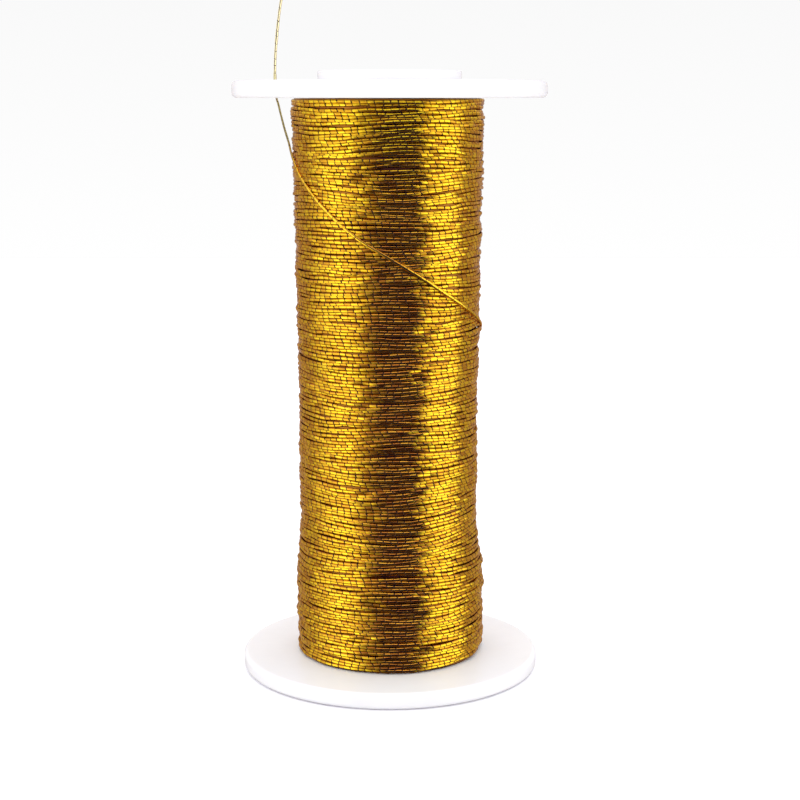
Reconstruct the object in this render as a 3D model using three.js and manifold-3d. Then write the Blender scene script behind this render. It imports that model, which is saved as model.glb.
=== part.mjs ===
// A small spool of metallic thread: a hollow barrel with a flange pressed into each
// end, thread wound between the flanges, and the thread's free end, which leaves the
// winding, climbs through a notch in the top flange and stands clear of it.
//
// Millimetres, +Z up. The origin is on the spool's axis, on the face it stands on,
// and the front faces -Y. An azimuth is in degrees from the front towards +X.
import * as THREE from 'three';
import { mergeVertices } from 'three/addons/utils/BufferGeometryUtils.js';
import Module from 'manifold-3d';

// The spool's outside
const TOP_FLANGE_RADIUS = 14;
const BOTTOM_FLANGE_RADIUS = 13.65;
const FLANGE_THICKNESS = 1.5;
const RIM_ROUNDING = 0.45;
const WINDING_LENGTH = 50.65; // clear distance between the flanges
const COLLAR_RADIUS = 6.4; // raised ring round the bore, on the top flange only
const COLLAR_HEIGHT = 0.85;

// The shallow recess in each outer face, between the rim and the ring round the bore
const RECESS_DEPTH = 0.3;
const RECESS_INNER_RADIUS = 7;
const RECESS_OUTER_RADIUS = 12.2;

// The inside: a spool pin goes up the bore, and each flange's spigot into the barrel
const BORE_RADIUS = 4;
const BARREL_RADIUS = 6;
const BARREL_WALL = 1.2;
const SPIGOT_LENGTH = 6;
const FIT_GAP = 0.05; // left between two pieces that touch

// The wound thread: full at both ends, with a long waist between them
const THREAD_DIAMETER = 0.3;
const WINDING_RADIUS = 8.6;
const WAIST_DEPTH = 0.45;
const LOWER_SHOULDER = [6.5, 12.5]; // heights between which the full lower end narrows
const UPPER_TAPER_START = 24; // height above which the waist widens again

// The notch in the top flange's rim that the thread's free end passes through
const NOTCH_AZIMUTH = -127;
const NOTCH_WIDTH = 1;
const NOTCH_DEPTH = 1.3;

// Roundness of the turned shapes and fineness of the thread's tube
const SIDES = 48;
const ARC_DIVISIONS = 2;
const TAIL_SIDES = 8;
const TAIL_STEPS = 80;

// Worked out from the sizes above
const WINDING_BOTTOM = FLANGE_THICKNESS;
const WINDING_TOP = WINDING_BOTTOM + WINDING_LENGTH;
const BARREL_INSIDE = BARREL_RADIUS - BARREL_WALL;
const SPIGOT_RADIUS = BARREL_INSIDE - FIT_GAP;

// The free end's route as [azimuth, radius, height]: round the winding on top of the
// turns, then straight to the notch, up through it, and clear of the flange
const TAIL_ROUTE = [
  [152, 8.27, 30.1],
  [132, 8.27, 30.4],
  [112, 8.28, 30.9],
  [92, 8.29, 31.6],
  [74, 8.31, 32.6],
  [55, 8.33, 33.9],
  [36, 8.36, 35.4],
  [18, 8.39, 37.0],
  [0, 8.42, 38.6],
  [-17, 8.48, 40.1],
  [-32, 8.55, 41.7],
  [-45, 8.61, 43.2],
  [-56, 8.66, 44.5],
  [-67, 8.71, 45.7],
  [-76, 8.75, 46.75],
  [-84, 8.82, 47.4],
  [-92.2, 9.02, 48.1],
  [-106.5, 9.98, 49.4],
  [-117.7, 11.40, 50.8],
  [-123.2, 12.41, 51.6],
  [-126.3, 13.15, 52.1],
  [-127, 13.40, 53.0],
  [-126.8, 13.41, 54.5],
  [-126.9, 13.33, 56.3],
  [-127.3, 13.16, 58.3],
  [-128, 12.95, 60.3],
  [-129.1, 12.73, 62.1],
  [-129.9, 12.57, 63.0],
];

const wasm = await Module();
wasm.setup();

/** A mesh that three.js made, as a solid that can be cut. */
function toSolid(geometry) {
  const bare = geometry.clone();
  bare.deleteAttribute('normal');
  bare.deleteAttribute('uv');
  const merged = mergeVertices(bare);
  return new wasm.Manifold(new wasm.Mesh({
    numProp: 3,
    vertProperties: merged.attributes.position.array,
    triVerts: new Uint32Array(merged.index.array),
  }));
}

/** A cut solid, as a mesh again. */
function toGeometry(solid) {
  const mesh = solid.getMesh();
  const geometry = new THREE.BufferGeometry();
  geometry.setAttribute('position', new THREE.BufferAttribute(mesh.vertProperties, 3));
  geometry.setIndex(new THREE.BufferAttribute(mesh.triVerts, 1));
  geometry.computeVertexNormals();
  return geometry;
}

/** The point at an azimuth, a radius and a height. */
function cylindrical(azimuth, radius, height) {
  const angle = THREE.MathUtils.degToRad(azimuth);
  return new THREE.Vector3(radius * Math.sin(angle), -radius * Math.cos(angle), height);
}

/** A closed outline of radius and height, turned about the Z axis. */
function turned(outline) {
  return new THREE.LatheGeometry([...outline, outline[0].clone()], SIDES).rotateX(Math.PI / 2);
}

/** The wound thread's outer radius at a height above the lower flange. */
function windingRadius(height) {
  const lowerEnd = 1 - THREE.MathUtils.smoothstep(height, ...LOWER_SHOULDER);
  const upperEnd = Math.max(0, height - UPPER_TAPER_START) / (WINDING_LENGTH - UPPER_TAPER_START);
  return WINDING_RADIUS - WAIST_DEPTH * (1 - Math.max(lowerEnd, upperEnd));
}

/** One flange, outer face up, with its inner face at height 0 and its spigot below. */
function flange(radius, collarHeight) {
  const face = FLANGE_THICKNESS;
  const floor = face - RECESS_DEPTH;
  const outline = new THREE.Path();
  outline.moveTo(BORE_RADIUS, -SPIGOT_LENGTH);
  outline.lineTo(SPIGOT_RADIUS, -SPIGOT_LENGTH);
  outline.lineTo(SPIGOT_RADIUS, 0);
  outline.absarc(radius - RIM_ROUNDING, RIM_ROUNDING, RIM_ROUNDING, -Math.PI / 2, 0);
  outline.absarc(radius - RIM_ROUNDING, face - RIM_ROUNDING, RIM_ROUNDING, 0, Math.PI / 2);
  outline.lineTo(RECESS_OUTER_RADIUS, face);
  outline.lineTo(RECESS_OUTER_RADIUS - RECESS_DEPTH, floor);
  outline.lineTo(RECESS_INNER_RADIUS + RECESS_DEPTH, floor);
  outline.lineTo(RECESS_INNER_RADIUS, face);
  if (collarHeight > 0) {
    outline.lineTo(COLLAR_RADIUS, face);
    outline.lineTo(COLLAR_RADIUS, face + collarHeight);
  }
  outline.lineTo(BORE_RADIUS, face + collarHeight);
  return turned(outline.getPoints(ARC_DIVISIONS));
}

/** The round-bottomed slot that the notch takes out of the rim. */
function notchCutter() {
  const half = NOTCH_WIDTH / 2;
  const slot = new THREE.Shape();
  slot.moveTo(TOP_FLANGE_RADIUS + half, -half);
  slot.lineTo(TOP_FLANGE_RADIUS + half, half);
  slot.absarc(TOP_FLANGE_RADIUS - NOTCH_DEPTH + half, 0, half, Math.PI / 2, 1.5 * Math.PI);
  const depth = 3 * FLANGE_THICKNESS;
  const cutter = new THREE.ExtrudeGeometry(slot, { depth, bevelEnabled: false, curveSegments: 6 });
  cutter.translate(0, 0, -FLANGE_THICKNESS);
  return cutter.rotateZ(THREE.MathUtils.degToRad(NOTCH_AZIMUTH - 90));
}

/** The flange at the top, with its raised collar and its notch. */
function topFlange() {
  const disc = toSolid(flange(TOP_FLANGE_RADIUS, COLLAR_HEIGHT));
  return toGeometry(disc.subtract(toSolid(notchCutter())));
}

/** The hollow barrel that joins the two flanges. */
function barrel() {
  const bottom = WINDING_BOTTOM + FIT_GAP;
  const top = WINDING_TOP - FIT_GAP;
  return turned([
    new THREE.Vector2(BARREL_INSIDE, bottom),
    new THREE.Vector2(BARREL_RADIUS, bottom),
    new THREE.Vector2(BARREL_RADIUS, top),
    new THREE.Vector2(BARREL_INSIDE, top),
  ]);
}

/** All the wound turns together, as one sleeve that ends halfway into the outer turns. */
function winding() {
  const inside = BARREL_RADIUS + FIT_GAP;
  const length = WINDING_LENGTH - 2 * FIT_GAP;
  const stations = 20;
  const outline = [new THREE.Vector2(inside, WINDING_BOTTOM + FIT_GAP)];
  for (let i = 0; i <= stations; i += 1) {
    const height = FIT_GAP + (length * i) / stations;
    const outside = windingRadius(height) - THREAD_DIAMETER / 2;
    outline.push(new THREE.Vector2(outside, WINDING_BOTTOM + height));
  }
  outline.push(new THREE.Vector2(inside, WINDING_TOP - FIT_GAP));
  return turned(outline);
}

/** The thread's free end, a round tube along its route. */
function tail() {
  const section = new THREE.Shape();
  for (let i = 0; i < TAIL_SIDES; i += 1) {
    const angle = (2 * Math.PI * i) / TAIL_SIDES;
    const x = (THREAD_DIAMETER / 2) * Math.cos(angle);
    const y = (THREAD_DIAMETER / 2) * Math.sin(angle);
    if (i === 0) section.moveTo(x, y);
    else section.lineTo(x, y);
  }
  const points = TAIL_ROUTE.map(([azimuth, radius, height]) => cylindrical(azimuth, radius, height));
  const extrudePath = new THREE.CatmullRomCurve3(points, false, 'centripetal');
  return new THREE.ExtrudeGeometry(section, { steps: TAIL_STEPS, extrudePath });
}

const WHITE_PLASTIC = { color: 0xf2f1f3, roughness: 0.28, metalness: 0 };
const CORE_PLASTIC = { color: 0xe6e4e0, roughness: 0.5, metalness: 0 };
const GOLD_THREAD = { color: 0xb98920, roughness: 0.38, metalness: 0.85 };

/** A named sub-part with a material of its own. */
function part(name, geometry, finish) {
  const mesh = new THREE.Mesh(geometry, new THREE.MeshStandardMaterial({ ...finish, name }));
  mesh.name = name;
  return mesh;
}

const spool = new THREE.Group();
spool.name = 'spool_of_thread';

const topEnd = part('top_flange', topFlange(), WHITE_PLASTIC);
topEnd.position.z = WINDING_TOP;
const bottomEnd = part('bottom_flange', flange(BOTTOM_FLANGE_RADIUS, 0), WHITE_PLASTIC);
bottomEnd.position.z = WINDING_BOTTOM;
bottomEnd.rotation.x = Math.PI;

spool.add(
  bottomEnd,
  topEnd,
  part('barrel', barrel(), CORE_PLASTIC),
  part('thread_winding', winding(), GOLD_THREAD),
  part('thread_tail', tail(), GOLD_THREAD),
);

export default spool;
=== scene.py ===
"""A small white plastic spool wound with gold metallic thread.

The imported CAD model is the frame. Each of its pieces is made again here as a finer
mesh, and the thread turn by turn. Metres, +Z up, and the front faces -Y. An azimuth
is measured from the front towards +X.
"""
import math

import bpy
import numpy as np
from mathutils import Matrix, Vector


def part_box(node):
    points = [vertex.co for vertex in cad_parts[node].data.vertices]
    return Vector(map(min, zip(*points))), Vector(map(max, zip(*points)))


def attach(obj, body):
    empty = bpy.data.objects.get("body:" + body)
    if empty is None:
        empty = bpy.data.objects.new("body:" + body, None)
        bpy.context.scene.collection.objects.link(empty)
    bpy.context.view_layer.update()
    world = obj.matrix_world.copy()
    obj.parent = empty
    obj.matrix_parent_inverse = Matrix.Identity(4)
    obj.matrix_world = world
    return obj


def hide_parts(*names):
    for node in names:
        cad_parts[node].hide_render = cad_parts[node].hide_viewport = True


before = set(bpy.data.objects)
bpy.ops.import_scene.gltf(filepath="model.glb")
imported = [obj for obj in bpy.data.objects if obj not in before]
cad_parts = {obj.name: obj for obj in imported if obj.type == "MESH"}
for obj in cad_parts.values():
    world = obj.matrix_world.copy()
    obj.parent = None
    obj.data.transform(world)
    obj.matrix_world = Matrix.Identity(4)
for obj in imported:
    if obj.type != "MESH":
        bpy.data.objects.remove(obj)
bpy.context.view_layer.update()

MM = 0.001
SEED = 7

# The thread, and the gap that the CAD leaves between two pieces that touch
THREAD_DIAMETER = 0.3 * MM
THREAD_RADIUS = THREAD_DIAMETER / 2
FIT_GAP = 0.05 * MM

# Places and sizes that come from the frame
winding_low, winding_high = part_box("thread_winding")
barrel_low, barrel_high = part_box("barrel")
top_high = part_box("top_flange")[1]
bottom_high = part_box("bottom_flange")[1]
WINDING_BOTTOM = winding_low[2]
WINDING_TOP = winding_high[2]
WINDING_LENGTH = WINDING_TOP - WINDING_BOTTOM
WINDING_RADIUS = winding_high[0] + THREAD_RADIUS  # the CAD's sleeve ends inside the outer turns
TOP_FLANGE_RADIUS = top_high[0]
BOTTOM_FLANGE_RADIUS = bottom_high[0]

# The flanges and the barrel, as the CAD draws them
FLANGE_THICKNESS = 1.5 * MM
COLLAR_RADIUS = 6.4 * MM
COLLAR_HEIGHT = top_high[2] - (WINDING_TOP + FIT_GAP) - FLANGE_THICKNESS
RIM_ROUNDING = 0.45 * MM
MOULDED_EDGE = 0.12 * MM  # the small rounding of the other edges
RECESS_DEPTH = 0.3 * MM
RECESS_INNER_RADIUS = 7 * MM
RECESS_OUTER_RADIUS = 12.2 * MM
BORE_RADIUS = 4 * MM
SPIGOT_RADIUS = 4.75 * MM
SPIGOT_LENGTH = 6 * MM
NOTCH_AZIMUTH = math.radians(-127)
NOTCH_WIDTH = 1 * MM
NOTCH_DEPTH = 1.3 * MM
BARREL_WALL = 1.2 * MM
BARREL_EDGE = 0.1 * MM

# The winding's shape, with heights measured from its lower end
WAIST_DEPTH = 0.45 * MM
LOWER_SHOULDER = (6.5 * MM, 12.5 * MM)  # between these the full lower end narrows
UPPER_TAPER_START = 24 * MM  # above this the waist widens again
FOOT_HEIGHT = 2 * MM  # below this the turns draw in a little
FOOT_DEPTH = 0.06 * MM
FOOT_SHARPNESS = 1.5
LEAN = 0.16 * MM  # how far the upper turns sit to the left of the axis

# The heap of turns where the free end comes out, with its height from the table
HEAP_DEPTH = 0.13 * MM
HEAP_HEIGHT = 31.4 * MM
HEAP_REACH = 1 * MM
HEAP_AZIMUTH = math.radians(90)
HEAP_SHARPNESS = 8  # how quickly it dies away round the spool

# The turns. Their section has most of its points on its outer half, the half that shows
ROW_PITCH = 0.29 * MM  # less than a turn's width, so each one presses on the next
PRESSED_WIDTH = 1.14  # a wound turn's width, as a share of the thread's
WOUND_SECTION = (-90, -58, -27, 0, 27, 58, 90, 180)  # degrees, from straight out
WOUND_SQUARENESS = 2.4
STEPS_PER_TURN = 720
BANDS = 6  # the lengths that the outer layer is made in
UNDERLAYER_DEPTH = 1.8 * THREAD_RADIUS  # how far in the grooves of the layer beneath are
UNDERLAYER_RIDGE = 0.4 * THREAD_RADIUS  # how far its turns stand out of them

# How unevenly the turns lie, up and down (sway, clump) and in and out (bulge, ripple):
# the spread, the number of waves, the bounds of a wave's cycles round the spool, and
# the bounds of its radians in a millimetre of height
SWAY = (0.1 * MM, 12, (0, 3), (0.2, 1.2))
CLUMP = (0.02 * MM, 16, (0, 4), (2.5, 5))
BULGE = (0.035 * MM, 14, (0, 4), (0.4, 3))
RIPPLE = (0.025 * MM, 16, (0, 5), (3, 8))

# What no turn shares with the next, up and down (stray, tremble, flutter) and in and
# out (rise): the spread, and how often it changes in a turn
STRAY = (0.015 * MM, 5.3)
TREMBLE = (0.034 * MM, 14.7)
FLUTTER = (0.03 * MM, 33.3)
RISE = (0.044 * MM, 41.3)

# The film that is wrapped round the core yarn, with radii as shares of the thread's
FREE_FLATNESS = 0.62  # the free end's thickness, as a share of its width
FREE_SECTION_POINTS = 10
FILM_PITCH = 0.67 * MM  # from one wrap to the next
WOUND_GAP = 0.085 * MM  # the core yarn that shows between two wraps
FREE_GAP = 0.045 * MM  # and in the free end, which isn't bent round the spool
SMALLEST_GAP = 0.4  # as a share of the usual one
WIDEST_GAP = 0.5  # as a share of the film's pitch
WRAP_RINGS = ((0.0, 0.97), (0.33, 1.0), (0.67, 1.0), (1.0, 0.965))  # place along the wrap, radius
CORE_RADIUS = 0.82
RINGS_PER_WRAP = 1 + len(WRAP_RINGS)  # the first of them is the core yarn's
FILM_SLANT = 0.5  # how far along a wrap's ends slant from the thread's middle to its top
FILM_ROLL = math.radians(9)  # how far one wrap is rolled round from the next

# The spread of what differs between wraps, as a share of its usual value
PITCH_DRIFT = 0.03
PITCH_JITTER = 0.07
GAP_SPREAD = 0.25
RADIUS_SPREAD = 0.03
SLANT_SPREAD = 0.35

# The camera
CAMERA_DISTANCE = 156 * MM
CAMERA_SIDE = 0.92 * MM
CAMERA_RISE = 0.33 * MM  # above the top flange's underside
CAMERA_PITCH = math.radians(10.04)
CAMERA_LENS = 77.8

# The light tent's strength, and its walls' colour at each azimuth
TENT_STRENGTH = 1.66
TENT_FRONT = (0.004, 0.002, 0.14)
TENT_SIDE = (1, 1, 1)
TENT_TURN = (0.24, 0.2, 0.25)  # where the left wall gives way to the dark front
TENT_BACK = (0.30, 0.25, 0.27)
TENT_WALLS = [
    (-180, TENT_BACK),
    (-118, TENT_BACK),
    (-64, TENT_SIDE),
    (-50, TENT_SIDE),
    (-28, TENT_TURN),
    (-8, TENT_FRONT),
    (40, TENT_FRONT),
    (58, TENT_SIDE),
    (94, TENT_SIDE),
    (106, TENT_BACK),
    (180, TENT_BACK),
]
TABLE = (0.05, 0.025, 0.05)
TABLE_EDGE = (-0.5, -0.75)  # a reflection's Z direction where it starts to show, and shows alone
CEILING = (0.52, 0.33, 1.2)
CEILING_EDGE = (0.45, 0.7)

# The rest of the studio
ROOM_STRENGTH = 1.2  # the even white light on everything that isn't glossy
BACKDROP_FADE = (-0.09, 0.05)  # the Z directions between which the backdrop turns greyer
BACKDROP_TOP = 0.95
FLOOR_SIZE = 0.4  # from the axis to each side and to the back
FLOOR_FRONT = -0.05  # the floor ends here, just in front of the camera's view

# The wound film's colour at the darkest wrap, the middle one and the brightest
GOLD_TONES = [(0.0, (0.66, 0.32, 0.003)), (0.5, (0.92, 0.56, 0.006)), (1.0, (1.0, 0.7, 0.014))]

# Shade painted into its colour in the groove between two turns, where one turn shades
# the next: the span from the bottom of the groove to its end, where a turn's crown is at
# 1, and the share of the colour left at the bottom
GROOVE_SPAN = (0.56, 0.93)
GROOVE_PAINTED_SHADE = 0.68

# The film's colour in the layer beneath, a darker copy of the gold with its shade painted in, from the
# winding's foot to its top
SHADED_TONES = [(0.0, (0.22, 0.08, 0.004)), (1.0, (0.3, 0.11, 0.004))]

# The free end's, over the heights that follow: duller where it hangs clear, a painted shade, and pale
# above the flange, a painted highlight
FREE_GOLD_AND_PAINTED_LIGHT = [
    (0.3, (0.95, 0.62, 0.02)),
    (0.42, (0.31, 0.30, 0.12)),
    (0.62, (0.31, 0.30, 0.12)),
    (0.75, (0.98, 0.87, 0.46)),
]
FREE_TONE_HEIGHTS = (40 * MM, 60 * MM)

# The free end's route as (azimuth, radius, height), in degrees and millimetres: round
# the winding on top of the turns, then to the notch, up through it and clear of it
TAIL_ROUTE = [
    (152, 8.27, 30.1),
    (132, 8.27, 30.4),
    (112, 8.28, 30.9),
    (92, 8.29, 31.6),
    (74, 8.31, 32.6),
    (55, 8.33, 33.9),
    (36, 8.36, 35.4),
    (18, 8.39, 37.0),
    (0, 8.42, 38.6),
    (-17, 8.48, 40.1),
    (-32, 8.55, 41.7),
    (-45, 8.61, 43.2),
    (-56, 8.66, 44.5),
    (-67, 8.71, 45.7),
    (-76, 8.75, 46.75),
    (-84, 8.82, 47.4),
    (-92.2, 9.02, 48.1),
    (-106.5, 9.98, 49.4),
    (-117.7, 11.40, 50.8),
    (-123.2, 12.41, 51.6),
    (-126.3, 13.15, 52.1),
    (-127, 13.40, 53.0),
    (-126.8, 13.41, 54.5),
    (-126.9, 13.33, 56.3),
    (-127.3, 13.16, 58.3),
    (-128, 12.95, 60.3),
    (-129.1, 12.73, 62.1),
    (-129.9, 12.57, 63.0),
]


# ---------------------------------------------------------------- meshes


def new_piece(name, vertices, faces, materials, smooth_angle=None):
    """A mesh object with smooth shading, and sharp edges past an angle if one is given."""
    mesh = bpy.data.meshes.new(name)
    mesh.from_pydata(vertices, [], faces)
    mesh.validate()
    for material in materials:
        mesh.materials.append(material)
    mesh.polygons.foreach_set("use_smooth", [True] * len(mesh.polygons))
    if smooth_angle is not None:
        mesh.set_sharp_from_angle(angle=math.radians(smooth_angle))
    mesh.update()
    piece = bpy.data.objects.new(name, mesh)
    bpy.context.scene.collection.objects.link(piece)
    return piece


def stands_for(piece, node):
    """The piece rides on the object's one body, in place of its CAD node."""
    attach(piece, "root")
    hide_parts(node)


def filleted(corners, steps=5):
    """A closed outline through (radius, height, fillet) corners, with round fillets."""
    points = []
    count = len(corners)
    for i, (x, y, fillet) in enumerate(corners):
        here = np.array([x, y])
        before = np.array(corners[i - 1][:2]) - here
        after = np.array(corners[(i + 1) % count][:2]) - here
        before /= np.linalg.norm(before)
        after /= np.linalg.norm(after)
        half = math.acos(np.clip(before @ after, -1, 1)) / 2
        middle = (before + after) / np.linalg.norm(before + after)
        centre = here + middle * fillet / math.sin(half)
        start = here + before * fillet / math.tan(half) - centre
        end = here + after * fillet / math.tan(half) - centre
        sweep = math.atan2(start[0] * end[1] - start[1] * end[0], start @ end)
        for k in range(steps + 1):
            turn = sweep * k / steps
            spun = (
                start[0] * math.cos(turn) - start[1] * math.sin(turn),
                start[0] * math.sin(turn) + start[1] * math.cos(turn),
            )
            points.append(centre + spun)
    return np.array(points)


def grid_faces(rings, points, closed, flipped):
    """Four-sided faces over rings of points. closed joins the last ring to the first."""
    spans = rings if closed else rings - 1
    i, j = np.meshgrid(np.arange(spans), np.arange(points), indexing="ij")
    ahead = (i + 1) % rings
    beside = (j + 1) % points
    a, b = i * points + j, ahead * points + j
    c, d = ahead * points + beside, i * points + beside
    order = (a, d, c, b) if flipped else (a, b, c, d)
    return np.stack(order, axis=-1).reshape(-1, 4)


def turned(name, outline, materials, sides=192, flip=1, lift=0.0, smooth_angle=35):
    """A closed outline turned about the Z axis. flip is -1 to turn it upside down."""
    angle = np.arange(sides) * 2 * math.pi / sides
    radius, height = outline[:, 0], outline[:, 1] * flip + lift
    vertices = np.empty((sides, len(outline), 3))
    vertices[..., 0] = np.sin(angle)[:, None] * radius
    vertices[..., 1] = -np.cos(angle)[:, None] * radius
    vertices[..., 2] = height
    faces = grid_faces(sides, len(outline), closed=True, flipped=flip < 0)
    return new_piece(name, vertices.reshape(-1, 3), faces, materials, smooth_angle)


# ---------------------------------------------------------------- thread


def smooth_route(points, steps=40):
    """A centripetal Catmull-Rom curve through the points."""
    points = np.array(points)
    knots = np.r_[0, np.cumsum(np.sqrt(np.linalg.norm(np.diff(points, axis=0), axis=1)))]
    slopes = np.gradient(points, knots, axis=0)
    samples = []
    for i in range(len(points) - 1):
        span = knots[i + 1] - knots[i]
        t = np.linspace(0, 1, steps, endpoint=i == len(points) - 2)[:, None]
        samples.append(
            (2 * t**3 - 3 * t**2 + 1) * points[i]
            + (t**3 - 2 * t**2 + t) * span * slopes[i]
            + (3 * t**2 - 2 * t**3) * points[i + 1]
            + (t**3 - t**2) * span * slopes[i + 1]
        )
    return np.concatenate(samples)


def lengths_along(path):
    """The distance along the path to each of its points."""
    return np.r_[0, np.cumsum(np.linalg.norm(np.diff(path, axis=0), axis=1))]


def sampled(values, along, at):
    """Each column of values, which are given along the path, at other distances."""
    return np.stack([np.interp(at, along, column) for column in values.T], axis=-1)


def unit(vectors):
    """The vectors at a length of 1."""
    return vectors / np.linalg.norm(vectors, axis=-1, keepdims=True)


def squared_section(degrees, power):
    """A ring's points at the given angles: round at a power of 2, squarer above it."""
    angle = np.radians(degrees)
    across, up = np.cos(angle), np.sin(angle)
    scale = (np.abs(across) ** power + np.abs(up) ** power) ** (-1 / power)
    return np.stack((across * scale, up * scale), axis=1)


def film_rings(total, gap_size, rng):
    """Where the thread's rings go: the distance, radius and wrap number of each.

    A ring between two wraps of film is drawn in to the core yarn.
    """
    count = max(1, round(total / FILM_PITCH))
    drift = np.cumsum(rng.normal(0, PITCH_DRIFT, count + 1))
    edges = np.arange(count + 1) + drift + rng.normal(0, PITCH_JITTER, count + 1)
    edges = (edges - edges[0]) * total / (edges[-1] - edges[0])
    start, span = edges[:-1], np.diff(edges)
    gap = gap_size * rng.normal(1, GAP_SPREAD, count)
    gap = gap.clip(SMALLEST_GAP * gap_size, WIDEST_GAP * FILM_PITCH)
    swell = rng.normal(1, RADIUS_SPREAD, count)
    distance = [start] + [start + gap / 2 + place * (span - gap) for place, _ in WRAP_RINGS]
    radius = [np.full(count, CORE_RADIUS)] + [width * swell for _, width in WRAP_RINGS]
    distance = np.r_[np.stack(distance, axis=1).ravel(), total]
    radius = np.r_[np.stack(radius, axis=1).ravel(), CORE_RADIUS] * THREAD_RADIUS
    wrap = np.r_[np.repeat(np.arange(count), RINGS_PER_WRAP), count - 1]
    return distance, radius, wrap


def thread_rings(path, section, gap_size, rng):
    """A film-wrapped thread's vertices along a path, ring by ring, and each ring's wrap.

    section holds a ring's points as (out of the spool, towards its top), for a
    radius of 1.
    """
    along = lengths_along(path)
    distance, radius, wrap = film_rings(along[-1], gap_size, rng)
    radius = radius[:, None]
    slant = (FILM_SLANT * rng.normal(1, SLANT_SPREAD, wrap[-1] + 1))[wrap]
    shift = -slant[:, None] * radius * section[:, 1]
    shift[0] = shift[-1] = 0
    at = (distance[:, None] + shift).clip(0, along[-1])
    centre = sampled(path, along, at)
    forward = unit(sampled(np.gradient(path, along, axis=0), along, at))
    out = centre * (1, 1, 0)
    # Straight out of the spool, then turned square to the thread
    out = unit(out - forward * (out * forward).sum(axis=-1, keepdims=True))
    up = np.cross(out, forward)
    roll = rng.normal(0, FILM_ROLL, wrap[-1] + 1)[wrap][:, None, None]
    outward, upward = section[:, :1], section[:, 1:]
    ring = (outward * np.cos(roll) - upward * np.sin(roll)) * out
    ring += (outward * np.sin(roll) + upward * np.cos(roll)) * up
    return centre + radius[..., None] * ring, wrap


def mark_film(mesh, wrap, section, rng):
    """Marks what is film and what is core, each wrap's tone, and how far out each point is.

    The edges round a wrap's ends are sharp, so that the film's shading stops there.
    """
    rings, points = len(wrap), len(section)
    last = RINGS_PER_WRAP - 1
    core = np.isin(np.arange(rings - 1) % RINGS_PER_WRAP, (0, last))
    slots = np.r_[np.repeat(core, points), True, True]
    mesh.polygons.foreach_set("material_index", slots.astype(np.int32))
    joined = np.empty(len(mesh.edges) * 2, dtype=np.int32)
    mesh.edges.foreach_get("vertices", joined)
    first, second = joined.reshape(-1, 2).T // points
    film_end = (first == second) & np.isin(first % RINGS_PER_WRAP, (1, last))
    mesh.edges.foreach_set("use_edge_sharp", film_end)
    shade = rng.random(wrap[-1] + 1)[wrap[:-1]]
    tone = mesh.attributes.new("tone", "FLOAT", "FACE")
    tone.data.foreach_set("value", np.r_[np.repeat(shade, points), 0.5, 0.5].astype(np.float32))
    crown = mesh.attributes.new("crown", "FLOAT", "POINT")
    crown.data.foreach_set("value", np.tile(section[:, 0], rings).astype(np.float32))


def wrapped_thread(name, path, section, gap_size, materials, rng):
    """A film-wrapped thread, as one closed tube. materials are the film's and the core's."""
    rings, wrap = thread_rings(path, section, gap_size, rng)
    count, points = rings.shape[:2]
    faces = grid_faces(count, points, closed=False, flipped=True).tolist()
    faces.append(list(range(points)))
    faces.append(list(range(count * points - 1, (count - 1) * points - 1, -1)))
    piece = new_piece(name, rings.reshape(-1, 3), faces, materials)
    mark_film(piece.data, wrap, section, rng)
    return piece


def winding_radius(height):
    """The wound thread's outer radius at a height above its lower end."""
    low, high = LOWER_SHOULDER
    t = ((height - low) / (high - low)).clip(0, 1)
    lower_end = 1 - t * t * (3 - 2 * t)
    upper_end = (height - UPPER_TAPER_START).clip(0) / (WINDING_LENGTH - UPPER_TAPER_START)
    foot = FOOT_DEPTH * (1 - height / FOOT_HEIGHT).clip(0) ** FOOT_SHARPNESS
    return WINDING_RADIUS - WAIST_DEPTH * (1 - np.maximum(lower_end, upper_end)) - foot


def leftward_lean(height):
    """How far left of the axis the turns sit at a height above the winding's lower end."""
    low, high = LOWER_SHOULDER
    return LEAN * ((height - low) / (high - low)).clip(0, 1)


def heap(angle, height):
    """How far the turns stand out where the free end leaves them."""
    above = (height + WINDING_BOTTOM - HEAP_HEIGHT) / HEAP_REACH
    beside = np.cos(angle - HEAP_AZIMUTH).clip(0) ** HEAP_SHARPNESS
    return HEAP_DEPTH * beside * np.exp(-(above**2))


def uneven(rng, spread, waves, rounds, rises):
    """A smooth random surface over an angle and a height, with the given spread.

    rounds bounds each wave's cycles round the spool, and rises its radians per mm.
    """
    across = rng.integers(rounds[0], rounds[1] + 1, waves)
    up = rng.uniform(*rises, waves) * rng.choice((-1, 1), waves) / MM
    phase = rng.uniform(0, 2 * math.pi, waves)

    def value(angle, height):
        total = sum(np.cos(m * angle + n * height + p) for m, n, p in zip(across, up, phase))
        return total * spread * math.sqrt(2 / waves)

    return value


def wander(rng, turns, spread, knots_per_turn):
    """A smooth random value along the thread, which no turn shares with the next."""
    knots = spread * rng.normal(size=math.ceil(turns * knots_per_turn) + 4)

    def value(turn):
        place = turn * knots_per_turn + 1
        i = place.astype(int)
        t = place - i
        a, b, c, d = (knots[i + k] for k in (-1, 0, 1, 2))
        return b + t / 2 * (c - a + t * (2 * a - 5 * b + 4 * c - d + t * (3 * b - 3 * c + d - a)))

    return value


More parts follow.
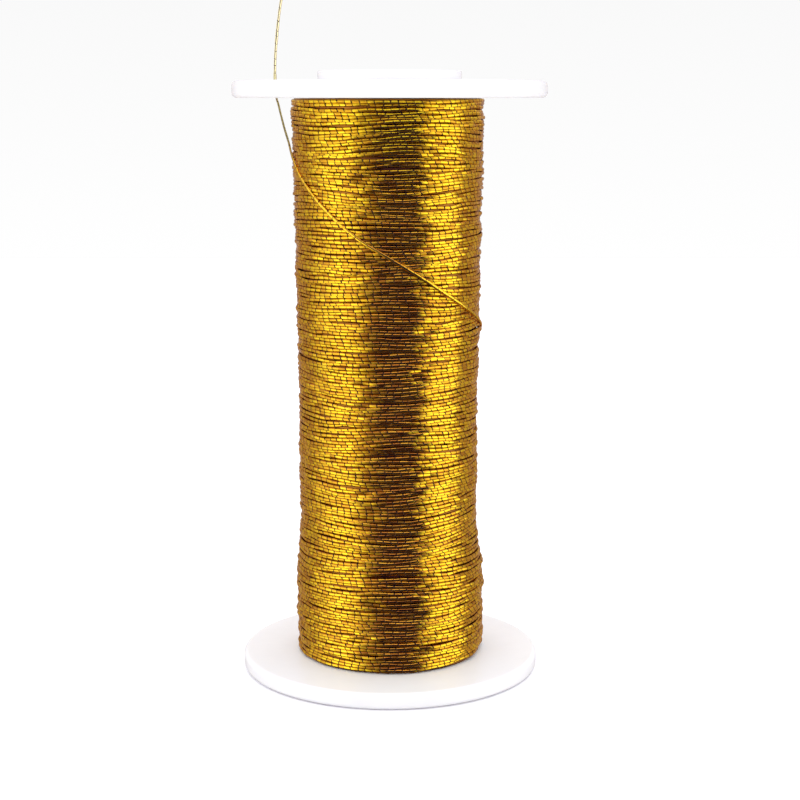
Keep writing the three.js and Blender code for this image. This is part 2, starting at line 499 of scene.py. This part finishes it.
def outer_turns(rng, turns):
    """A function that gives the centreline of the outer layer between two turns."""
    sway, clump, bulge, ripple = (uneven(rng, *kind) for kind in (SWAY, CLUMP, BULGE, RIPPLE))
    stray, tremble, flutter, rise = (
        wander(rng, turns, *kind) for kind in (STRAY, TREMBLE, FLUTTER, RISE)
    )

    def centreline(start, end):
        turn = np.arange(start * STEPS_PER_TURN, end * STEPS_PER_TURN + 1) / STEPS_PER_TURN
        angle = turn * 2 * math.pi - math.pi
        level = THREAD_RADIUS + (WINDING_LENGTH - THREAD_DIAMETER) * turn / turns
        offset = sway(angle, level) + clump(angle, level) + stray(turn) + tremble(turn) + flutter(turn)
        # The first turn and the last lie along the flanges
        height = level + np.minimum(turn, turns - turn).clip(0, 1) * offset
        radius = winding_radius(height) - THREAD_RADIUS + heap(angle, height)
        radius += bulge(angle, level) + ripple(angle, level) + rise(turn)
        x = radius * np.sin(angle) - leftward_lean(height)
        y = -radius * np.cos(angle)
        z = WINDING_BOTTOM + height.clip(THREAD_RADIUS, WINDING_LENGTH - THREAD_RADIUS)
        return np.stack((x, y, z), axis=1)

    return centreline


def make_winding(film, core, inner_film):
    """The outer layer of turns, in bands that each end at the back, over the layer beneath."""
    rng = np.random.default_rng(SEED)
    turns = round(WINDING_LENGTH / ROW_PITCH)
    centreline = outer_turns(rng, turns)
    section = squared_section(WOUND_SECTION, WOUND_SQUARENESS) * (1, PRESSED_WIDTH)
    pieces = []
    for band in range(BANDS):
        start, end = (round(turns * k / BANDS) for k in (band, band + 1))
        name = f"winding_turns_{band + 1}"
        path = centreline(start, end)
        pieces.append(wrapped_thread(name, path, section, WOUND_GAP, (film, core), rng))
    pieces.append(make_underlayer(inner_film, turns))
    for piece in pieces:
        stands_for(piece, "thread_winding")


def make_underlayer(film, turns):
    """The sleeve of turns beneath, which shows only in the gaps."""
    steps_per_turn = 4
    turn = np.arange(turns * steps_per_turn + 1) / steps_per_turn
    height = WINDING_LENGTH * turn / turns
    ridge = UNDERLAYER_RIDGE * np.abs(np.sin(turn * math.pi))
    radius = winding_radius(height) - UNDERLAYER_DEPTH + ridge
    inner = barrel_high[0] + FIT_GAP
    outline = np.stack((radius, WINDING_BOTTOM + height), axis=1)
    outline = np.r_[[(inner, WINDING_BOTTOM)], outline, [(inner, WINDING_TOP)]]
    sleeve = turned("winding_underlayer", outline, (film,), sides=96, smooth_angle=70)
    places = np.empty(len(sleeve.data.vertices) * 3)
    sleeve.data.vertices.foreach_get("co", places)
    places = places.reshape(-1, 3)
    # All but the sleeve's inside leans with the turns
    outer = np.hypot(places[:, 0], places[:, 1]) > inner + THREAD_RADIUS
    places[:, 0] -= np.where(outer, leftward_lean(places[:, 2] - WINDING_BOTTOM), 0)
    sleeve.data.vertices.foreach_set("co", places.ravel())
    return sleeve


def make_tail(film, core):
    """The thread's free end, which stands in for the CAD's tail."""
    azimuth, radius, height = np.array(TAIL_ROUTE).T
    azimuth = np.radians(azimuth)
    points = np.stack((radius * np.sin(azimuth), -radius * np.cos(azimuth), height), axis=1) * MM
    path = smooth_route(points)
    degrees = np.arange(FREE_SECTION_POINTS) * 360 / FREE_SECTION_POINTS
    section = squared_section(degrees, 2) * (FREE_FLATNESS, 1)
    rng = np.random.default_rng(SEED + 1)
    tail = wrapped_thread("thread_free_end", path, section, FREE_GAP, (film, core), rng)
    stands_for(tail, "thread_tail")


# ---------------------------------------------------------------- plastic


def flange_outline(radius, collar_height):
    """One flange's outline, with its inner face at height 0 and its outer face up."""
    face = FLANGE_THICKNESS
    floor = face - RECESS_DEPTH
    edge = MOULDED_EDGE
    corners = [
        (BORE_RADIUS, -SPIGOT_LENGTH, edge),
        (SPIGOT_RADIUS, -SPIGOT_LENGTH, edge),
        (SPIGOT_RADIUS, 0, edge),
        (radius, 0, RIM_ROUNDING),
        (radius, face, RIM_ROUNDING),
        (RECESS_OUTER_RADIUS, face, edge),
        (RECESS_OUTER_RADIUS - RECESS_DEPTH, floor, edge),
        (RECESS_INNER_RADIUS + RECESS_DEPTH, floor, edge),
        (RECESS_INNER_RADIUS, face, edge),
    ]
    if collar_height > 0:
        corners += [
            (COLLAR_RADIUS, face, edge),
            (COLLAR_RADIUS, face + collar_height, edge),
        ]
    corners.append((BORE_RADIUS, face + collar_height, 2 * edge))
    return filleted(corners)


def cut_notch(flange):
    """Takes the round-bottomed notch out of the top flange's rim."""
    half = NOTCH_WIDTH / 2
    middle = TOP_FLANGE_RADIUS - NOTCH_DEPTH + half
    arc = np.linspace(math.pi / 2, 1.5 * math.pi, 17)  # the notch's round bottom
    across = [(middle + half * math.cos(a), half * math.sin(a)) for a in arc]
    across += [(TOP_FLANGE_RADIUS + half, -half), (TOP_FLANGE_RADIUS + half, half)]
    out = np.array((math.sin(NOTCH_AZIMUTH), -math.cos(NOTCH_AZIMUTH), 0))
    side = np.array((-out[1], out[0], 0))
    levels = (WINDING_TOP - MM, WINDING_TOP + 3 * MM)  # well past both faces of the flange
    vertices = [out * r + side * s + (0, 0, z) for z in levels for r, s in across]
    count = len(across)
    faces = [list(range(count - 1, -1, -1)), list(range(count, 2 * count))]
    faces += [[k, (k + 1) % count, (k + 1) % count + count, k + count] for k in range(count)]
    cutter = new_piece("notch_cutter", vertices, faces, ())
    cut = flange.modifiers.new("notch", "BOOLEAN")
    cut.operation = "DIFFERENCE"
    cut.solver = "EXACT"
    cut.object = cutter
    depsgraph = bpy.context.evaluated_depsgraph_get()
    mesh = bpy.data.meshes.new_from_object(flange.evaluated_get(depsgraph), depsgraph=depsgraph)
    flange.modifiers.clear()
    flange.data = mesh
    mesh.set_sharp_from_angle(angle=math.radians(35))
    bpy.data.objects.remove(cutter)


def make_flanges(white):
    """The two flanges, each with its spigot inside the barrel."""
    outline = flange_outline(TOP_FLANGE_RADIUS, COLLAR_HEIGHT)
    top = turned("top_end", outline, (white,), lift=WINDING_TOP + FIT_GAP)
    cut_notch(top)
    stands_for(top, "top_flange")
    outline = flange_outline(BOTTOM_FLANGE_RADIUS, 0)
    bottom = turned("bottom_end", outline, (white,), flip=-1, lift=WINDING_BOTTOM - FIT_GAP)
    bottom.visible_glossy = False  # its reflection would make the lowest turns too pale
    stands_for(bottom, "bottom_flange")


def make_barrel(plastic):
    """The hollow barrel between the flanges."""
    outside = barrel_high[0]
    inside = outside - BARREL_WALL
    corners = [
        (inside, barrel_low[2], BARREL_EDGE),
        (outside, barrel_low[2], BARREL_EDGE),
        (outside, barrel_high[2], BARREL_EDGE),
        (inside, barrel_high[2], BARREL_EDGE),
    ]
    barrel = turned("core_barrel", filleted(corners), (plastic,), sides=128)
    stands_for(barrel, "barrel")


# ---------------------------------------------------------------- materials


def new_material(name):
    """A material with node links, its tree and its Principled shader."""
    material = bpy.data.materials.new(name)
    material.use_nodes = True
    tree = material.node_tree
    return material, tree, tree.nodes["Principled BSDF"]


def noise(tree, scale):
    """Noise in the object's own metres, with scale features in one."""
    place = tree.nodes.new("ShaderNodeTexCoord")
    texture = tree.nodes.new("ShaderNodeTexNoise")
    texture.inputs["Scale"].default_value = scale
    texture.inputs["Detail"].default_value = 3
    texture.inputs["Roughness"].default_value = 0.55
    tree.links.new(place.outputs["Object"], texture.inputs["Vector"])
    return texture.outputs["Fac"]


def ramp(tree, value, stops):
    """A colour ramp over a value. stops are (place, colour)."""
    node = tree.nodes.new("ShaderNodeValToRGB")
    elements = node.color_ramp.elements
    while len(elements) < len(stops):
        elements.new(0.5)
    for element, (place, colour) in zip(elements, stops):
        element.position = place
        element.color = (*colour, 1)
    tree.links.new(value, node.inputs["Fac"])
    return node.outputs["Color"]


def spread(tree, value, low, high):
    """A value from 0 to 1, mapped to low to high."""
    node = tree.nodes.new("ShaderNodeMapRange")
    node.inputs["To Min"].default_value = low
    node.inputs["To Max"].default_value = high
    tree.links.new(value, node.inputs["Value"])
    return node.outputs["Result"]


def bump(tree, shader, value, height, strength=1.0):
    """Fine relief, height metres from its lowest to its highest."""
    node = tree.nodes.new("ShaderNodeBump")
    node.inputs["Strength"].default_value = strength
    node.inputs["Distance"].default_value = height
    tree.links.new(value, node.inputs["Height"])
    tree.links.new(node.outputs["Normal"], shader.inputs["Normal"])


def wrap_tone(tree):
    """The tone that each wrap of film has, from 0 to 1."""
    tone = tree.nodes.new("ShaderNodeAttribute")
    tone.attribute_name = "tone"
    return tone.outputs["Fac"]


def height_share(tree, low, high):
    """The height on the object, from 0 at low to 1 at high."""
    place = tree.nodes.new("ShaderNodeTexCoord")
    axes = tree.nodes.new("ShaderNodeSeparateXYZ")
    share = tree.nodes.new("ShaderNodeMapRange")
    share.inputs["From Min"].default_value = low
    share.inputs["From Max"].default_value = high
    tree.links.new(place.outputs["Object"], axes.inputs["Vector"])
    tree.links.new(axes.outputs["Z"], share.inputs["Value"])
    return share.outputs["Result"]


def painted_groove_shade(tree, colour):
    """The colour with painted shade, darker where one turn of the thread lies against the next and
    shades it.
    """
    crown = tree.nodes.new("ShaderNodeAttribute")
    crown.attribute_name = "crown"
    shade = tree.nodes.new("ShaderNodeMapRange")
    shade.inputs["From Min"].default_value = GROOVE_SPAN[0]
    shade.inputs["From Max"].default_value = GROOVE_SPAN[1]
    shade.inputs["To Min"].default_value = GROOVE_PAINTED_SHADE
    tree.links.new(crown.outputs["Fac"], shade.inputs["Value"])
    product = tree.nodes.new("ShaderNodeVectorMath")
    product.operation = "SCALE"
    tree.links.new(colour, product.inputs[0])
    tree.links.new(shade.outputs["Result"], product.inputs["Scale"])
    return product.outputs["Vector"]


def film_material(name, stops, heights=None):
    """Metallised film. Its colour goes by height if heights are given.

    If they aren't, it goes by each wrap's own tone, with painted shade in the grooves between turns.
    """
    material, tree, shader = new_material(name)
    if heights is None:
        colour = painted_groove_shade(tree, ramp(tree, wrap_tone(tree), stops))
    else:
        colour = ramp(tree, height_share(tree, *heights), stops)
    tree.links.new(colour, shader.inputs["Base Color"])
    shader.inputs["Metallic"].default_value = 1.0
    shader.inputs["Specular Tint"].default_value = (1.0, 0.72, 0.35, 1)
    shader.inputs["Coat Weight"].default_value = 0.4
    shader.inputs["Coat Roughness"].default_value = 0.2
    grain = noise(tree, 9000)
    tree.links.new(spread(tree, grain, 0.08, 0.2), shader.inputs["Roughness"])
    bump(tree, shader, grain, 0.002 * MM, 0.6)
    return material


def core_material():
    """The dark brown core yarn that the film is wrapped round."""
    material, tree, shader = new_material("brown_core_yarn")
    fibres = noise(tree, 14000)
    colour = ramp(tree, fibres, [(0.3, (0.02, 0.007, 0.002)), (0.7, (0.06, 0.022, 0.006))])
    tree.links.new(colour, shader.inputs["Base Color"])
    shader.inputs["Roughness"].default_value = 0.6
    shader.inputs["Specular IOR Level"].default_value = 0.2
    bump(tree, shader, fibres, 0.02 * MM)
    return material


def white_plastic_material():
    """Glossy white moulded plastic."""
    material, tree, shader = new_material("glossy_white_plastic")
    flow = noise(tree, 120)
    colour = ramp(tree, flow, [(0.3, (0.86, 0.86, 0.87)), (0.7, (0.90, 0.90, 0.905))])
    tree.links.new(colour, shader.inputs["Base Color"])
    tree.links.new(spread(tree, noise(tree, 700), 0.18, 0.30), shader.inputs["Roughness"])
    shader.inputs["Subsurface Weight"].default_value = 0.15
    shader.inputs["Subsurface Radius"].default_value = (1.0, 0.9, 0.8)
    shader.inputs["Subsurface Scale"].default_value = 0.6 * MM
    bump(tree, shader, noise(tree, 1500), 0.01 * MM, 0.4)
    return material


def core_plastic_material():
    """Plain moulded plastic, a little greyer."""
    material, tree, shader = new_material("core_plastic")
    flow = noise(tree, 200)
    colour = ramp(tree, flow, [(0.3, (0.84, 0.83, 0.80)), (0.7, (0.90, 0.89, 0.87))])
    tree.links.new(colour, shader.inputs["Base Color"])
    shader.inputs["Roughness"].default_value = 0.5
    bump(tree, shader, noise(tree, 2500), 0.02 * MM, 0.5)
    return material


# ---------------------------------------------------------------- studio


def make_camera():
    """The camera, level with the top flange's underside and tilted a little down."""
    lens = bpy.data.cameras.new("camera")
    lens.lens = CAMERA_LENS
    lens.clip_start = 0.01
    camera = bpy.data.objects.new("camera", lens)
    camera.location = (CAMERA_SIDE, -CAMERA_DISTANCE, WINDING_TOP + FIT_GAP + CAMERA_RISE)
    camera.rotation_euler = (math.pi / 2 - CAMERA_PITCH, 0, 0)
    bpy.context.scene.collection.objects.link(camera)
    bpy.context.scene.camera = camera


def softbox(name, azimuth, elevation, distance, width, height, power):
    """A rectangular light that looks at the middle of the spool."""
    data = bpy.data.lights.new(name, "AREA")
    data.shape = "RECTANGLE"
    data.size = width
    data.size_y = height
    data.energy = power
    lamp = bpy.data.objects.new(name, data)
    azimuth, elevation = math.radians(azimuth), math.radians(elevation)
    flat = distance * math.cos(elevation)
    middle = (WINDING_BOTTOM + WINDING_TOP) / 2
    lamp.location = (
        flat * math.sin(azimuth),
        -flat * math.cos(azimuth),
        middle + distance * math.sin(elevation),
    )
    lamp.rotation_euler = (math.pi / 2 - elevation, 0, azimuth)
    lamp.visible_camera = False
    bpy.context.scene.collection.objects.link(lamp)


def background(tree, strength, colour=(1, 1, 1)):
    """A plain background shader."""
    node = tree.nodes.new("ShaderNodeBackground")
    node.inputs["Color"].default_value = (*colour, 1)
    node.inputs["Strength"].default_value = strength
    return node


def mixed(tree, share, first, second):
    """Two shaders mixed, where share is how much of the second there is."""
    mix = tree.nodes.new("ShaderNodeMixShader")
    tree.links.new(share, mix.inputs["Fac"])
    tree.links.new(first.outputs[0], mix.inputs[1])
    tree.links.new(second.outputs[0], mix.inputs[2])
    return mix


def direction(tree):
    """The direction that a ray looks in, as separate axes."""
    place = tree.nodes.new("ShaderNodeTexCoord")
    axes = tree.nodes.new("ShaderNodeSeparateXYZ")
    tree.links.new(place.outputs["Generated"], axes.inputs["Vector"])
    return axes.outputs


def light_tent(tree):
    """What glossy surfaces reflect: bright side walls, a dark front and a grey back.

    A reflection that looks steeply down or up shows a dark table or a bluish ceiling.
    """
    axes = direction(tree)
    azimuth = tree.nodes.new("ShaderNodeMath")
    azimuth.operation = "ARCTAN2"
    tree.links.new(axes["X"], azimuth.inputs[0])
    forward = tree.nodes.new("ShaderNodeMath")
    forward.operation = "MULTIPLY"
    forward.inputs[1].default_value = -1
    tree.links.new(axes["Y"], forward.inputs[0])
    tree.links.new(forward.outputs[0], azimuth.inputs[1])
    turn = tree.nodes.new("ShaderNodeMapRange")
    turn.inputs["From Min"].default_value = -math.pi
    turn.inputs["From Max"].default_value = math.pi
    tree.links.new(azimuth.outputs[0], turn.inputs["Value"])
    stops = [((degrees + 180) / 360, colour) for degrees, colour in TENT_WALLS]
    walls = ramp(tree, turn.outputs["Result"], stops)
    tent = background(tree, TENT_STRENGTH)
    tree.links.new(walls, tent.inputs["Color"])
    for (start, end), colour in ((TABLE_EDGE, TABLE), (CEILING_EDGE, CEILING)):
        share = tree.nodes.new("ShaderNodeMapRange")
        share.interpolation_type = "SMOOTHSTEP"
        share.inputs["From Min"].default_value = start
        share.inputs["From Max"].default_value = end
        tree.links.new(axes["Z"], share.inputs["Value"])
        tent = mixed(tree, share.outputs["Result"], tent, background(tree, TENT_STRENGTH, colour))
    return tent


def backdrop(tree):
    """What the camera sees behind the floor: white, and a little greyer higher up."""
    fade = tree.nodes.new("ShaderNodeMapRange")
    fade.inputs["From Min"].default_value = BACKDROP_FADE[0]
    fade.inputs["From Max"].default_value = BACKDROP_FADE[1]
    fade.inputs["To Min"].default_value = 1.0
    fade.inputs["To Max"].default_value = BACKDROP_TOP
    tree.links.new(direction(tree)["Z"], fade.inputs["Value"])
    white = background(tree, 1.0)
    tree.links.new(fade.outputs["Result"], white.inputs["Strength"])
    return white


def make_lights():
    """A softbox overhead, and a world that differs for the camera, for gloss and for the rest."""
    softbox(
        "overhead_softbox",
        azimuth=180,
        elevation=80,
        distance=0.6,
        width=0.5,
        height=0.5,
        power=1.4,
    )
    world = bpy.data.worlds.new("studio")
    bpy.context.scene.world = world
    world.use_nodes = True
    tree = world.node_tree
    tree.nodes.clear()
    ray = tree.nodes.new("ShaderNodeLightPath")
    room = background(tree, ROOM_STRENGTH)
    shown = mixed(tree, ray.outputs["Is Glossy Ray"], room, light_tent(tree))
    shown = mixed(tree, ray.outputs["Is Camera Ray"], shown, backdrop(tree))
    output = tree.nodes.new("ShaderNodeOutputWorld")
    tree.links.new(shown.outputs[0], output.inputs["Surface"])


def make_floor():
    """A plain pale floor."""
    size = FLOOR_SIZE
    corners = [(-size, FLOOR_FRONT, 0), (size, FLOOR_FRONT, 0), (size, size, 0), (-size, size, 0)]
    material, tree, shader = new_material("pale_floor")
    paper = noise(tree, 300)
    colour = ramp(tree, paper, [(0.3, (0.94, 0.94, 0.945)), (0.7, (0.96, 0.96, 0.96))])
    tree.links.new(colour, shader.inputs["Base Color"])
    shader.inputs["Roughness"].default_value = 0.7
    floor = new_piece("floor", corners, [(0, 1, 2, 3)], (material,))
    floor.visible_glossy = False  # the light tent has a table of its own


# ---------------------------------------------------------------- the spool

make_camera()
core_yarn = core_material()
# The free end's colour goes by height: painted shade where it hangs clear, a painted highlight above
# the flange
make_tail(film_material("free_gold_film", FREE_GOLD_AND_PAINTED_LIGHT, FREE_TONE_HEIGHTS), core_yarn)
make_winding(
    film_material("gold_film", GOLD_TONES),
    core_yarn,
    # The layer beneath: the gold film again, darker, with painted shade
    film_material("shaded_gold_film", SHADED_TONES, (0, WINDING_TOP)),
)
make_flanges(white_plastic_material())
make_barrel(core_plastic_material())
make_lights()
make_floor()
bpy.context.scene.view_settings.view_transform = "Standard"
